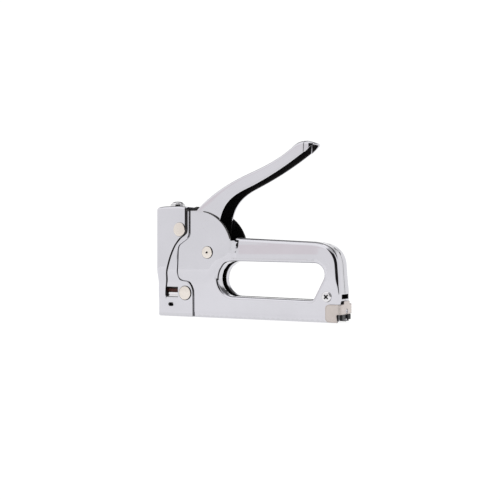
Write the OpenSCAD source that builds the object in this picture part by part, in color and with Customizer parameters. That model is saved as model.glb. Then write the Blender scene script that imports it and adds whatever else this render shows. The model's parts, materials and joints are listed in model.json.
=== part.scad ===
// Hand staple gun, light duty, with a chromed pressed-steel body.
// +X points to the rear, -X to the nose, +Z up. The tool stands on its flat base at z = 0.
// The lever is drawn raised, the driver down and the staple feeder closed.

/* [Sheet metal] */
// Thickness of the pressed sheets
sheet_t = 1.2; // [1.1:0.05:1.25]
// Half width of the body at the grip and along the base
grip_half_w = 10; // [9.9:0.05:10.1]
// Half width of the body around the lever pivot
dome_half_w = 13.5; // [13.3:0.05:13.6]
// Half width of the front cover's raised head
head_half_w = 15.7; // [15.6:0.05:16]
// Radius of the body's bent shoulders
shoulder_r = 3.2; // [2.4:0.1:3.4]

/* [Lever] */
// Half width of the lever along its handle
lever_half_w = 8.4; // [8:0.1:8.6]
// Half width of the lever at its root, between the body shells
root_half_w = 11.5; // [11:0.1:11.8]
// Shank radius of the lever's pivot pin
pivot_r = 3; // [2.5:0.1:3.2]
// Radial play of the lever on its pin
pivot_play = 0.05; // [0.03:0.01:0.08]

/* [Driver] */
// Width of the driver blade, just under the staple's crown
blade_w = 11; // [10.6:0.1:11.2]
// Thickness of the driver blade
blade_t = 1; // [0.8:0.05:1]
// Outer diameter of the main spring
spring_d = 11; // [10:0.2:11.4]
// Wire diameter of the main spring
spring_wire = 1.8; // [1.4:0.1:2]
// Diameter of the tension screw's domed head
screw_head_d = 12.4; // [11:0.2:13]

/* [Feeder] */
// Diameter of the pusher rod
rod_d = 3; // [2.6:0.1:3]
// Length of the pusher
pusher_l = 12; // [10:1:14]
// Number of coils in the pusher spring
pusher_coils = 26; // [20:1:30]

/* [Hidden] */
$fn = 48;

chrome = [0.80, 0.80, 0.83];
nickel = [0.80, 0.75, 0.70];
steel = [0.55, 0.56, 0.58];
dark = [0.15, 0.15, 0.16];

far = 60;                                 // reach of a cut that goes right through
gap = 0.3;                                // space between pieces that move past each other

// Places, as [x, z] on the side view
pivot = [-32.5, 52.6];
dome_c = [-42.4, 54.2];
dome_r = 32.2;
upper_rivet_at = [-57.7, 71.3];
lower_rivet_at = [-55.1, 19.4];
rear_screw_at = [69.9, 19.4];
cross_pin_at = [-31, 70];
rivet_shank_r = 2.5;
rear_screw_r = 2;
cross_pin_r = 2.5;

// Nose and head
nose_x = -82.2;
head_rear_x = -51.7;
head_top = 90.6;
cover_base = 0.6;
cover_half_w = dome_half_w + sheet_t;     // cover over the dome
cover_low_w = grip_half_w + sheet_t;      // cover over the base
head_low_w = 12.2;
head_ramp_z = [26, 40];                   // the head widens between these heights
nose_r = 5;

// Body
front_x = -80.9;
rear_x = 80.7;
body_top = dome_c[1] + dome_r;
grip_front = [-8, 64.3];
grip_rear = [56.5, 61];
ramp_z = [28, 38];                        // the sheet widens from grip to dome between these heights

// Finger opening: a large round front end and two rounder corners at the rear
hole_front = [-10.9, 31.6];
hole_front_r = 14.1;
hole_top = [59, 36];
hole_top_r = 8.6;
hole_low = [56, 20.4];
hole_low_r = 4;

// Driver, spring and tension screw
axis_x = -69.7;
blade_x = -78.6;                          // rear face of the blade
blade_z = [1.5, 44];
hammer_z = [22.8, 50];
hammer_x = [-78.6, -60.6];
hammer_half_w = 6.6;
seat_z = 79.5;
cup_z = 50.5;
screw_shank_r = 2.5;
screw_end_z = seat_z + 2;
dome_h = 4.6;
arm_l = 30;
arm_rest = 15;                            // angle of the lift arm below the horizontal
arm_tip = [pivot[0] - arm_l * cos(arm_rest), pivot[1] - arm_l * sin(arm_rest)];
arm_tip_r = 3;
arm_t = 4;
bushing_r = 4.5;

// Lever: knots of its roof line and of its free lower edge, and the hub round the pivot
lever_front_x = -47.2;
roof_low = [-44.8, 87.2];
roof_mid = [4, 116.4];
roof_high = [42, 136.2];
lever_tip = [58.6, 133.4];
edge_low = [-23.6, 74];
edge_mid = [0, 103];
edge_end = [56.2, 134];
lever_tip_r = 7.4;
hub_r = 8.8;
open_front_z = 83;                        // the lever's front is open up to here, for the lift arm

// Magazine and feeder
rail_x = [-78.3, 74];
channel_x = [-78.3, 79];
channel_half_w = 7.6;
channel_top = 15;
rail_half_w = 4.6;
rail_z = [2, 12.6];
rail_t = 1;
rod_z = 8.5;
rod_x = [-77.6, 82.4];
pusher_x = -77;
bracket_x = [69.4, 82.2];
bracket_half_w = grip_half_w + gap + sheet_t;
bracket_z = [0.4, 13.8];
bracket_open_z = 6.3;

// ---------- helpers ----------

// Point on a cubic curve
function bez(p, t) = pow(1 - t, 3) * p[0] + 3 * t * pow(1 - t, 2) * p[1]
    + 3 * t * t * (1 - t) * p[2] + pow(t, 3) * p[3];
function curve(p, n) = [for (i = [0:n]) bez(p, i / n)];
// Points along an arc, from angle a to angle b
function arc(c, r, a, b, n) =
    [for (i = [0:n]) [c[0] + r * cos(a + (b - a) * i / n), c[1] + r * sin(a + (b - a) * i / n)]];

// A side view stood up: its x stays x, its y becomes z, and it runs from y0 to y1
module side(y0, y1) {
    translate([0, y1, 0]) rotate([90, 0, 0]) linear_extrude(y1 - y0) children();
}

// A profile across the tool, [y, z], run along x
module across(x0, x1) {
    translate([x0, 0, 0]) rotate([90, 0, 90]) linear_extrude(x1 - x0) children();
}

// A block between two corners
module block(a, b) {
    translate(a) cube(b - a);
}

// A round bar along y at a place on the side view
module y_bar(at, r, y0, y1) {
    translate([at[0], y1, at[1]]) rotate([90, 0, 0]) cylinder(h = y1 - y0, r = r);
}

// A round bar along x
module x_bar(x0, x1, z, r, y = 0) {
    translate([x0, y, z]) rotate([0, 90, 0]) cylinder(h = x1 - x0, r = r);
}

// A rivet's low domed head, standing on the face at y = w and growing outward
module rivet_head(at, w, r, h, side_sign) {
    translate([at[0], side_sign * w, at[1]]) rotate([-90 * side_sign, 0, 0])
        rotate_extrude() intersection() {
            translate([0, h - r * r / h * 1.1]) circle(r = r * r / h * 1.1, $fn = 200);
            square([r, h]);
        }
}

// A rivet through the whole width, with a domed head on each side
module through_rivet(at, shank_r, head_r, w, h) {
    y_bar(at, shank_r, -w, w);
    for (s = [-1, 1]) rivet_head(at, w, head_r, h, s);
}

// Round wire wound on a cylinder along z, as one closed solid
module coil_z(r, wire, z0, z1, turns, steps, sides) {
    n = turns * steps;
    ring = [for (i = [0:n]) for (k = [0:sides - 1])
        let (a = 360 * i / steps, b = 360 * k / sides, z = z0 + wire / 2 + (z1 - z0 - wire) * i / n,
            q = r + wire / 2 * cos(b))
        [q * cos(a), q * sin(a), z + wire / 2 * sin(b)]];
    walls = [for (i = [0:n - 1]) for (k = [0:sides - 1])
        let (a = i * sides + k, b = i * sides + (k + 1) % sides)
        for (f = [[a, b, a + sides], [b, b + sides, a + sides]]) f];
    caps = [[for (k = [sides - 1:-1:0]) k], [for (k = [0:sides - 1]) n * sides + k]];
    polyhedron(ring, concat(walls, caps));
}

// ---------- body shells ----------

// Outline of a body shell on the side view
module body_area() {
    polygon(concat(
        [[front_x, 0], [rear_x, 0], [rear_x, 22], [79, 44]],
        curve([[79, 44], [77.8, 54], [70.5, 60.4], grip_rear], 8),
        [grip_front, [-8.9, 62]],
        arc(dome_c, dome_r, 14, 90, 14),
        [[-50.5, body_top], [-50.5, 78.3], [-77, 78.3], [-77, ramp_z[0]], [front_x, ramp_z[0]]]));
}

// Part of the side that stands out around the lever pivot
module dome_area(inset, free) {
    polygon([
        [-60, 90 + free], [-9.6 + free - inset, 90 + free], [-9.6 - inset, 61.9], [-10.2 - inset, 53],
        [-14.4 - inset, 49.2 + inset], [-25.2 - inset, 44.9 + inset], [-31.8 - inset, 36.5 + inset],
        [-36.5 - inset, ramp_z[0]], [-90, ramp_z[0]], [-90, 90 + free]]);
}

// Half width of the sheet against height, w0 at the base and w1 around the pivot
module ramp_profile(w0, w1) {
    polygon([[-w0, -1], [w0, -1], [w0, ramp_z[0]], [w1, ramp_z[1]], [w1, 100],
        [-w1, 100], [-w1, ramp_z[1]], [-w0, ramp_z[0]]]);
}

// The finger opening, grown by g
module finger_area(g) {
    hull() {
        translate(hole_front) circle(r = hole_front_r + g, $fn = 40);
        translate(hole_top) circle(r = hole_top_r + g, $fn = 40);
        translate(hole_low) circle(r = hole_low_r + g, $fn = 32);
    }
}

// Plan of the grip with rounded rear corners
module grip_plan(w, x1, r) {
    translate([-90, -w]) square([90 + x1 - r, 2 * w]);
    translate([x1 - r - 1, r - w]) square([r + 1, 2 * (w - r)]);
    for (s = [-1, 1]) translate([x1 - r, s * (w - r)]) circle(r = r);
}

// Section of the grip with rounded top corners, top at z = 0
module grip_section(w, r) {
    translate([-w, -80]) square([2 * w, 80 - r]);
    translate([r - w, -r - 1]) square([2 * (w - r), r + 1]);
    for (s = [-1, 1]) translate([s * (w - r), -r]) circle(r = r);
}

// The closed outer form of both shells, drawn in by t
module body_form(t) {
    slope = atan2(grip_front[1] - grip_rear[1], grip_rear[0] - grip_front[0]);
    intersection() {
        side(-far, far) offset(delta = -t) body_area();
        translate([0, 0, -10]) linear_extrude(110)
            grip_plan(grip_half_w - t, rear_x - t, shoulder_r - t);
        translate([grip_front[0], 0, grip_front[1] - t]) rotate([0, slope, 0])
            across(-100, 120) grip_section(grip_half_w - t, shoulder_r - t);
    }
}

// One body shell: flat side, bent shoulders, raised dome and a flanged finger opening
module body_shell(s) {
    inner = grip_half_w - sheet_t;
    difference() {
        union() {
            difference() {
                union() {
                    difference() {
                        body_form(0);
                        body_form(sheet_t);
                        // open underneath
                        block([-90, -inner, -1], [rear_x - sheet_t, inner, 20]);
                    }
                    intersection() {
                        side(-far, far) intersection() {
                            body_area();
                            dome_area(0, 5);
                        }
                        across(-90, 0) ramp_profile(grip_half_w, dome_half_w);
                    }
                }
                intersection() {
                    side(-far, far) dome_area(sheet_t, 5);
                    across(-90, 0) ramp_profile(inner, dome_half_w - sheet_t);
                }
                // open between the sides, in front of the grip
                block([-90, -inner, 0], [grip_front[0] - 1.9, inner, 100]);
            }
            intersection() {
                body_form(0);
                side(-far, far) difference() {
                    finger_area(sheet_t);
                    finger_area(0);
                }
            }
        }
        side(-far, far) finger_area(0);
        block([-far * 2, s > 0 ? -far : 0, -far], [far * 2, s > 0 ? 0 : far, far * 2]);
        // inspection window, magazine mouth and keeper slot at the rear
        block([-76, -far, 19.6], [-61, far, 25.6]);
        block([rear_x - 6, -8.2, -1], [far * 2, 8.2, 15.3]);
        block([rear_x - 2, -6.5, 17.6], [far * 2, 6.5, 21.2]);
        for (hole = [[upper_rivet_at, rivet_shank_r], [lower_rivet_at, rivet_shank_r],
            [pivot, pivot_r], [rear_screw_at, rear_screw_r]])
            y_bar(hole[0], hole[1], -far, far);
    }
}

module body_shell_left() color(chrome) body_shell(-1);
module body_shell_right() color(chrome) body_shell(1);

// ---------- front cover ----------

// Whole side of the cover, back to its free edge over the body shell
module cover_area() {
    polygon(concat(
        [[nose_x, cover_base], [-47.2, cover_base], [-47.3, 21], [-49, 25.2]],
        curve([[-49, 25.2], [-50.6, 28.4], [-53.4, 29.2], [-57.5, 29.2]], 4),
        [[-61.2, 32.6], [-60.8, 45.1], [-60.3, 55.2]],
        curve([[-60.3, 55.2], [-58.4, 60.4], [-48.8, 60.6], [-48.8, 68.2]], 6),
        [[-48.8, 87.6], [head_rear_x, 87.6], [head_rear_x, head_top - 0.6],
            [-70, head_top], [-78, 90], [nose_x, 88.4]]));
}

// The raised front of the cover, drawn in by g along its rear step
module head_area(g) {
    polygon(concat(
        [[nose_x, cover_base], [-74.2 - g, cover_base], [-74.2 - g, 17.7], [-73.8 - g, 24.5]],
        curve([[-73 - g, 29], [-71.5 - g, 37], [-69.5 - g, 50], [-63.3 - g, 57.5 + g]], 5),
        [[-57.6 - g, 64 + g], [-52.6 - g, 68 + g], [head_rear_x - g, 71 + g],
            [head_rear_x - g, head_top - 0.6], [-70, head_top], [-78, 90], [nose_x, 88.4]]));
}

// Width of the raised head against height
module head_profile(t) {
    top_w = head_half_w - t;
    low_w = head_low_w - t;
    polygon([[-low_w, -1], [low_w, -1], [low_w, head_ramp_z[0]], [top_w, head_ramp_z[1]],
        [top_w, 100], [-top_w, 100], [-top_w, head_ramp_z[1]], [-low_w, head_ramp_z[0]]]);
}

// Plan of the nose with rounded front corners
module nose_plan(w, x0, r) {
    translate([x0 + r, -w]) square([60, 2 * w]);
    translate([x0, r - w]) square([r + 1, 2 * (w - r)]);
    for (s = [-1, 1]) translate([x0 + r, s * (w - r)]) circle(r = r);
}

module cover_form(t) {
    intersection() {
        translate([0, 0, -1]) linear_extrude(head_top + 1 - t)
            nose_plan(head_half_w - t, nose_x + t, nose_r - t);
        union() {
            intersection() {
                side(-far, far) cover_area();
                across(-90, -40) ramp_profile(cover_low_w - t, cover_half_w - t);
            }
            intersection() {
                side(-far, far) head_area(t);
                across(-90, -40) head_profile(t);
            }
        }
    }
}

module front_cover() color(chrome)
    difference() {
        cover_form(0);
        cover_form(sheet_t);
        block([nose_x + sheet_t, sheet_t - cover_low_w, -1],
            [-40, cover_low_w - sheet_t, head_top - sheet_t]);
        intersection() {
            across(-80, -40) ramp_profile(cover_low_w - sheet_t, dome_half_w);
            block([-76, -far, -1], [-40, far, head_top - sheet_t - 1.6]);
        }
        // window, small locating slot, rivets and tension screw
        block([-74.2, -far, 15.8], [-62.2, far, 24.3]);
        side(-far, far) translate([-69, 9.8]) {
            square([2.3, 3.1], center = true);
            for (s = [-1, 1]) translate([s * 1.15, 0]) circle(d = 3.1);
        }
        for (at = [upper_rivet_at, lower_rivet_at]) y_bar(at, rivet_shank_r, -far, far);
        translate([axis_x, 0, 80]) cylinder(h = 20, r = 3.2);
    }

// ---------- fixed inner parts ----------

module driver_guide() color(steel)
    difference() {
        union() {
            block([-80.8, -8.4, cover_base], [-79.8, 8.4, 78]);
            for (s = [-1, 1]) translate([0, s * 7.8 - 0.6, 0]) {
                block([-80.8, 0, 16.5], [-52, sheet_t, 26.5]);
                block([-80.8, 0, 26.5], [-62, sheet_t, 62]);
                block([-80.8, 0, 62], [-54, sheet_t, 78]);
            }
        }
        block([-75.5, -far, 19.6], [-61.5, far, 25.6]);
        for (at = [upper_rivet_at, lower_rivet_at]) y_bar(at, rivet_shank_r, -far, far);
    }

module spring_bridge() color(steel)
    difference() {
        union() {
            block([-79.6, -11, 86.6], [-57, 11, 88.8]);
            for (s = [-1, 1]) translate([0, s * 9.2 - 0.8, 0])
                block([-76, 0, 64.5], [-53.5, 1.6, 86.6]);
        }
        translate([axis_x, 0, 80]) cylinder(h = 20, r = screw_shank_r + pivot_play);
        y_bar(upper_rivet_at, rivet_shank_r, -far, far);
    }

module upper_rivet() color(nickel)
    through_rivet(upper_rivet_at, rivet_shank_r, 5.8, head_half_w, 1.1);

module lower_rivet() color(nickel)
    through_rivet(lower_rivet_at, rivet_shank_r, 6, cover_low_w, 1.2);

module pivot_pin() color(nickel)
    difference() {
        through_rivet(pivot, pivot_r, 5.1, dome_half_w, 1.1);
        for (s = [-1, 1])
            y_bar(pivot, 0.9, s > 0 ? dome_half_w + 0.3 : -far, s > 0 ? far : -dome_half_w - 0.3);
    }

module rear_screw() color(nickel)
    difference() {
        union() {
            y_bar(rear_screw_at, rear_screw_r, -grip_half_w, grip_half_w + 2.6);
            rivet_head(rear_screw_at, grip_half_w, 4.1, 1.4, -1);
        }
        for (a = [45, 135]) translate([rear_screw_at[0], -grip_half_w - 1.1, rear_screw_at[1]])
            rotate([0, a, 0]) cube([4.6, 1.6, 0.9], center = true);
    }

module rear_spacer() color(steel)
    difference() {
        y_bar(rear_screw_at, 4, sheet_t - grip_half_w, grip_half_w - sheet_t);
        y_bar(rear_screw_at, rear_screw_r, -far, far);
    }

module rear_nut() color(nickel)
    difference() {
        translate([rear_screw_at[0], grip_half_w + 2.2, rear_screw_at[1]])
            rotate([90, 0, 0]) cylinder(h = 2.2, r = 4, $fn = 6);
        y_bar(rear_screw_at, rear_screw_r, -far, far);
    }

module magazine_channel() color(chrome)
    difference() {
        block([channel_x[0], -channel_half_w, 1], [channel_x[1], channel_half_w, channel_top]);
        block([-90, sheet_t - channel_half_w, -1], [90, channel_half_w - sheet_t, channel_top - sheet_t]);
        for (s = [0, 1], y = [-1, 1]) y_bar([64 + 7 * s, rod_z], 1.2, y > 0 ? 1 : -far, y > 0 ? far : -1);
    }

module staple_rail() color(steel)
    difference() {
        block([rail_x[0], -rail_half_w, rail_z[0]], [rail_x[1], rail_half_w, rail_z[1]]);
        block([-90, rail_t - rail_half_w, -1], [90, rail_half_w - rail_t, rail_z[1] - rail_t]);
        for (s = [0, 1], y = [-1, 1]) y_bar([64 + 7 * s, rod_z], 1.2, y > 0 ? 1 : -far, y > 0 ? far : -1);
    }

// Four short rivets with spacer collars that hold the rail inside the channel
module rail_rivets() color(nickel)
    for (x = [64, 71], s = [-1, 1]) {
        y_bar([x, rod_z], 1.2, s > 0 ? rail_half_w - rail_t : -channel_half_w - 0.6,
            s > 0 ? channel_half_w + 0.6 : rail_t - rail_half_w);
        y_bar([x, rod_z], 2.4, s > 0 ? rail_half_w : sheet_t - channel_half_w,
            s > 0 ? channel_half_w - sheet_t : -rail_half_w);
        y_bar([x, rod_z], 2.2, s > 0 ? channel_half_w : -channel_half_w - 0.6,
            s > 0 ? channel_half_w + 0.6 : -channel_half_w);
    }

module bumper_plate() color(chrome)
    difference() {
        block([-78.2, -7.1, 18.4], [-58.2, 7.1, 19.6]);
        block([-79, -5.8, 18], [-78, 5.8, 20]);
    }

module shock_bumper() color([0.36, 0.16, 0.12])
    block([-77.9, -6.9, 19.6], [-59.6, 6.9, 22.4]);

// Block between the head and the lever's root, which the raised lever rests against
module handle_stop() color(dark)
    difference() {
        side(-7.4, 7.4) polygon([[-53.8, 79], [-48.4, 79], [-47.6, 82.5], [-46.8, 85.6], [-46.1, 88.2],
            [-47.6, 90.2], [-53.4, 88.6]]);
        y_bar([-50.6, 83.4], 1.6, -far, far);
    }

// Torsion spring round the pivot bushing, with a leg under the cross pin and one on the frame
module handle_spring() color(steel)
    translate([pivot[0], 8.6, pivot[1]]) rotate([90, 0, 0]) {
        coil_z(6.2, 1.2, 0, 5.8, 3.25, 16, 6);
        translate([6.1, 0, 0.6]) rotate([0, 90, 0]) cylinder(h = 13, r = 0.4);
        translate([0, 6.1, 5.2]) rotate([-90, 0, 0]) cylinder(h = 7.6, r = 0.4);
    }

module main_spring() color(steel)
    translate([axis_x, 0, 0])
        coil_z((spring_d - spring_wire) / 2, spring_wire, cup_z, seat_z, 6, 16, 8);

// ---------- tension screw ----------

module tension_screw() color(nickel)
    translate([axis_x, 0, 0]) difference() {
        union() {
            translate([0, 0, screw_end_z])
                cylinder(h = head_top + 1 - screw_end_z, r = screw_shank_r);
            rotate_extrude() intersection() {
                translate([0, head_top - 2.2]) circle(r = 6.9);
                translate([0, head_top]) square([screw_head_d / 2, dome_h]);
            }
        }
        translate([-10, -0.7, head_top + dome_h - 2]) cube([20, 1.4, 4]);
    }

// Thrust washer and spigot that carry the spring's top end
module spring_seat() color(steel)
    translate([axis_x, 0, 0]) {
        translate([0, 0, seat_z]) cylinder(h = 2, r = 6);
        translate([0, 0, 74]) cylinder(h = seat_z - 74, r = 3.2);
    }

// ---------- lever ----------

// Everything under the lever's roof line
module under_roof() {
    polygon(concat(
        [[lever_front_x, 40], [lever_front_x, 76]],
        curve([[lever_front_x, 76], [lever_front_x, 81], [-46.4, 84.4], roof_low], 3),
        curve([roof_low, [-38, 95.4], [-18, 108.4], roof_mid], 9),
        curve([roof_mid, [16.5, 121.3], [29.5, 125.8], roof_high], 7),
        curve([roof_high, [48.5, 141.2], [58.6, 139], lever_tip], 7),
        [[lever_tip[0], 40]]));
}

// Everything over the lever's free lower edge, with the hub round the pivot
module over_edge() {
    polygon(concat(
        curve([edge_low, [-21.5, 90], [-14, 97], edge_mid], 7),
        curve([edge_mid, [18, 110.6], [34, 118.6], edge_end], 8),
        [[70, 139], [70, 150], [-60, 150], [-47.8, 78], pivot + [-0.9, -0.2] * hub_r,
            pivot + [0.9, -0.2] * hub_r]));
    translate(pivot) circle(r = hub_r);
}

// Plan of the lever: wide at its root, narrower along the handle, round at the tip
module lever_plan(t) {
    root = root_half_w - t;
    bar = lever_half_w - t;
    tip_r = lever_tip_r - t;
    polygon(concat(
        [[-60, root], [-60, -root], [-28.5, -root], [-10, -bar], [46, -bar]],
        arc([lever_tip[0] - lever_tip_r, 0], tip_r, -84, 84, 12),
        [[46, bar], [-10, bar], [-28.5, root]]));
}

module lever_shell() color(chrome)
    difference() {
        intersection() {
            side(-far, far) intersection() {
                under_roof();
                over_edge();
            }
            linear_extrude(150) lever_plan(0);
        }
        intersection() {
            side(-far, far) {
                offset(delta = -sheet_t) under_roof();
                // the front is open below the roof, where the lift arm reaches forward
                translate([-55, 30]) square([15, open_front_z - 30]);
            }
            linear_extrude(150) lever_plan(sheet_t);
        }
        y_bar(pivot, bushing_r, -far, far);
        y_bar(cross_pin_at, cross_pin_r, -far, far);
    }

// Steel arm inside the lever that lifts the hammer
module lift_arm() color(dark)
    difference() {
        side(-arm_t / 2, arm_t / 2) {
            translate(pivot) circle(r = 9);
            translate(cross_pin_at) circle(r = 6);
            polygon([[pivot[0] - 9, pivot[1] + 2], [pivot[0] + 9, pivot[1]],
                [cross_pin_at[0] + 6, cross_pin_at[1]], [cross_pin_at[0] - 6, cross_pin_at[1]]]);
            translate(arm_tip) circle(r = arm_tip_r);
            translate(pivot) rotate(180 + arm_rest)
                polygon([[0, -8.6], [18, -5], [arm_l, -2.2], [arm_l, 2.2], [18, 5], [0, 8.6]]);
        }
        y_bar(pivot, bushing_r, -far, far);
        y_bar(cross_pin_at, cross_pin_r, -far, far);
    }

module pivot_bushing() color(steel)
    difference() {
        y_bar(pivot, bushing_r, -root_half_w - 0.3, root_half_w + 0.3);
        y_bar(pivot, pivot_r + pivot_play, -far, far);
    }

module lever_cross_pin() color(nickel) y_bar(cross_pin_at, cross_pin_r, -root_half_w, root_half_w);

// ---------- hammer and driver blade ----------

module hammer() color(dark)
    difference() {
        union() {
            block([hammer_x[0], -hammer_half_w, hammer_z[0]],
                [hammer_x[1], hammer_half_w, hammer_z[1] - 6]);
            translate([axis_x, 0, hammer_z[1] - 7]) cylinder(h = 7, r = hammer_half_w);
        }
        // spring cup
        translate([axis_x, 0, cup_z - 3]) cylinder(h = 8, r = spring_d / 2 + 0.4);
        // slot for the tip of the lift arm
        block([-66.4, -arm_t / 2 - gap, arm_tip[1] - arm_tip_r - 0.2],
            [-60, arm_t / 2 + gap, arm_tip[1] + arm_tip_r + 0.2]);
        for (z = [29, 36]) x_bar(-79, -74, z, 1.5);
    }

module driver_blade() color(steel)
    difference() {
        block([blade_x - blade_t, -blade_w / 2, blade_z[0]], [blade_x, blade_w / 2, blade_z[1]]);
        for (z = [29, 36]) x_bar(-90, -74, z, 1.5);
    }

module blade_rivets() color(nickel)
    for (z = [29, 36]) x_bar(blade_x - blade_t, -74, z, 1.5);

// ---------- feeder ----------

// U-shaped clip round the rear of the base, with a hook tab on top
module rear_bracket() color(nickel)
    difference() {
        union() {
            difference() {
                translate([0, 0, bracket_z[0]]) linear_extrude(bracket_z[1] - bracket_z[0])
                    grip_plan(bracket_half_w, bracket_x[1], 2.6);
                translate([0, 0, -1]) linear_extrude(30)
                    grip_plan(bracket_half_w - sheet_t, bracket_x[1] - sheet_t, 1.8);
            }
            block([bracket_x[1] - sheet_t, -5.6, 12], [bracket_x[1], 5.6, 16.2]);
        }
        block([-100, -far, -1], [bracket_x[0], far, 30]);
        // the near corners of each side are rounded
        for (z = [[bracket_z[0], 1], [bracket_z[1], -1]])
            side(-far, far) difference() {
                translate([bracket_x[0] - 1, z[0] - 2 * (1 + z[1])]) square([4, 4]);
                translate([bracket_x[0] + 3, z[0] + 3 * z[1]]) circle(r = 3);
            }
        block([80, -8.6, -1], [90, 8.6, bracket_open_z]);
        x_bar(79, 90, rod_z, rod_d / 2);
    }

module pusher_rod() color(chrome) {
    x_bar(rod_x[0], bracket_x[1] - 0.1, rod_z, rod_d / 2);
}

// Stop ring on the front end of the rod, just inside the rail
module rod_collar() color(steel)
    difference() {
        x_bar(rod_x[0], rod_x[0] + 0.5, rod_z, 2.6);
        x_bar(-90, 0, rod_z, rod_d / 2);
    }

module end_block() color(dark)
    difference() {
        block([75, -6, 2], [bracket_x[1] - sheet_t, 6, 13]);
        block([79, 0, 1], [90, 7, 6.3]);
        x_bar(60, 90, rod_z, rod_d / 2);
        for (y = [-4, 4]) x_bar(76, 90, 10.6, 0.9, y);
    }

// Two short rivets that hold the end block to the bracket
module block_rivets() color(steel)
    for (y = [-4, 4]) x_bar(76, bracket_x[1] - sheet_t, 10.6, 0.9, y);

// Ribbed thumb tab under the bracket's rear plate
module latch_tab() color(dark) {
    block([79.4, 4.6, 2.4], [81, 8.2, 5.7]);
    block([80.9, 3.2, 2.1], [81.7, 8.3, 6]);
    for (i = [0:4]) block([81.6, 3.5 + i, 2.1], [82.1, 4 + i, 6]);
}

// Saddle that straddles the rail and pushes the staples, with a boss on the rod
module pusher() color(dark)
    difference() {
        block([pusher_x, -6, 0.9], [pusher_x + pusher_l, 6, 13.5]);
        difference() {
            block([-90, -4.9, 1.7], [0, 4.9, 12.9]);
            block([-90, -3.3, 1], [0, 3.3, 11.3]);
        }
        x_bar(-90, 0, rod_z, rod_d / 2 + 0.06);
    }

module pusher_spring() color(steel)
    translate([0, 0, rod_z]) rotate([0, 90, 0])
        coil_z(2.2, 0.7, pusher_x + pusher_l + 0.1, 74.9, pusher_coils, 8, 5);

body_shell_left();
body_shell_right();
front_cover();
driver_guide();
spring_bridge();
upper_rivet();
lower_rivet();
pivot_pin();
rear_screw();
rear_spacer();
rear_nut();
magazine_channel();
staple_rail();
rail_rivets();
bumper_plate();
shock_bumper();
handle_stop();
handle_spring();
main_spring();
tension_screw();
spring_seat();
lever_shell();
lift_arm();
pivot_bushing();
lever_cross_pin();
hammer();
driver_blade();
blade_rivets();
rear_bracket();
pusher_rod();
rod_collar();
end_block();
block_rivets();
latch_tab();
pusher();
pusher_spring();
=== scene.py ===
import json
import math

import bmesh
import bpy
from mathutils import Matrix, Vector, kdtree
from mathutils.geometry import delaunay_2d_cdt


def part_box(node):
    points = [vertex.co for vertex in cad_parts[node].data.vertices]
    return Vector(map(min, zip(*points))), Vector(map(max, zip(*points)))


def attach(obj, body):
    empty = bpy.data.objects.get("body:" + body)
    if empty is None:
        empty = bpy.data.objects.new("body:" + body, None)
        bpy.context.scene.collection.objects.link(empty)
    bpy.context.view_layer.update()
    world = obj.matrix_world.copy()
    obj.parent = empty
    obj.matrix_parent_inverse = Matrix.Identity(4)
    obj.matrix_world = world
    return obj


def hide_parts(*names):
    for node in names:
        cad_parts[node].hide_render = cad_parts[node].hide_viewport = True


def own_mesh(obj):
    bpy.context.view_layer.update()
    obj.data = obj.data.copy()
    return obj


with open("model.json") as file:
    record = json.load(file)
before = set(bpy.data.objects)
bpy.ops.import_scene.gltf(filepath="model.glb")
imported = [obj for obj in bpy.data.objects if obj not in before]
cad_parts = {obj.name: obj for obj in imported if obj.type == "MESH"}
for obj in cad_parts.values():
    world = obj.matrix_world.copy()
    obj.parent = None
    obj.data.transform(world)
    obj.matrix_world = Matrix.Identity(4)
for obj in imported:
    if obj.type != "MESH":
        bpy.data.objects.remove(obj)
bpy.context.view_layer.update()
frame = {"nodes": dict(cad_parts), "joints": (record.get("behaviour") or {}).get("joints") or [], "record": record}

# Shapes are worked out in millimetres, as [x, z] on the side view or (x, y, z) in space.
MM = 0.001


# ---------- numbers that come from the frame ----------

def low(node, axis):
    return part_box(node)[0][axis] / MM


def high(node, axis):
    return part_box(node)[1][axis] / MM


def middle(node):
    """Centre of a CAD node on the side view."""
    return ((low(node, 0) + high(node, 0)) / 2, (low(node, 2) + high(node, 2)) / 2)


def slot_of(name):
    return next(part["material_slot"] for part in frame["record"]["subparts"] if part["node"] == name)


def joint(name):
    return next(j for j in frame["joints"] if j["name"] == name)


SHEET = 1.2  # thickness of the pressed sheets
WELD = 0.012  # points closer than this are joined
PIVOT = (joint("lever_squeeze")["pos_m"][0] / MM, joint("lever_squeeze")["pos_m"][2] / MM)
UPPER_RIVET = middle("upper_rivet")
LOWER_RIVET = middle("lower_rivet")
REAR_SCREW = middle("rear_screw")
SCREW_X = middle("tension_screw")[0]
NOSE_X = low("front_cover", 0)
COVER_BASE = low("front_cover", 2)
HEAD_TOP = high("front_cover", 2)
FRONT_X = low("body_shell_left", 0)
REAR_X = high("body_shell_left", 0)
BODY_TOP = high("body_shell_left", 2)
DOME_W = -low("body_shell_left", 1)  # half width of the body round the lever pivot
HEAD_W = high("front_cover", 1)  # half width of the cover's raised head
GRIP_W = 10.0  # half width of the grip and the base
SEAM = 0.25  # half of the gap where the two shells meet
LEFT_FLANGE_END, RIGHT_FLANGE_END = 2.4, 4.2  # where the finger opening's flanges end, off the seam


# ---------- curves and lookups ----------

def smooth(t):
    t = min(max(t, 0.0), 1.0)
    return t * t * (3 - 2 * t)


def ramp(value, start, end):
    return smooth((value - start) / (end - start))


def mix(a, b, t):
    return a + (b - a) * t


def bezier(p0, p1, p2, p3, count):
    """Points on a cubic curve, without its first one."""
    points = []
    for i in range(1, count + 1):
        t = i / count
        a, b, c, d = (1 - t) ** 3, 3 * t * (1 - t) ** 2, 3 * t * t * (1 - t), t ** 3
        points.append(tuple(a * p0[k] + b * p1[k] + c * p2[k] + d * p3[k] for k in (0, 1)))
    return points


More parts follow.
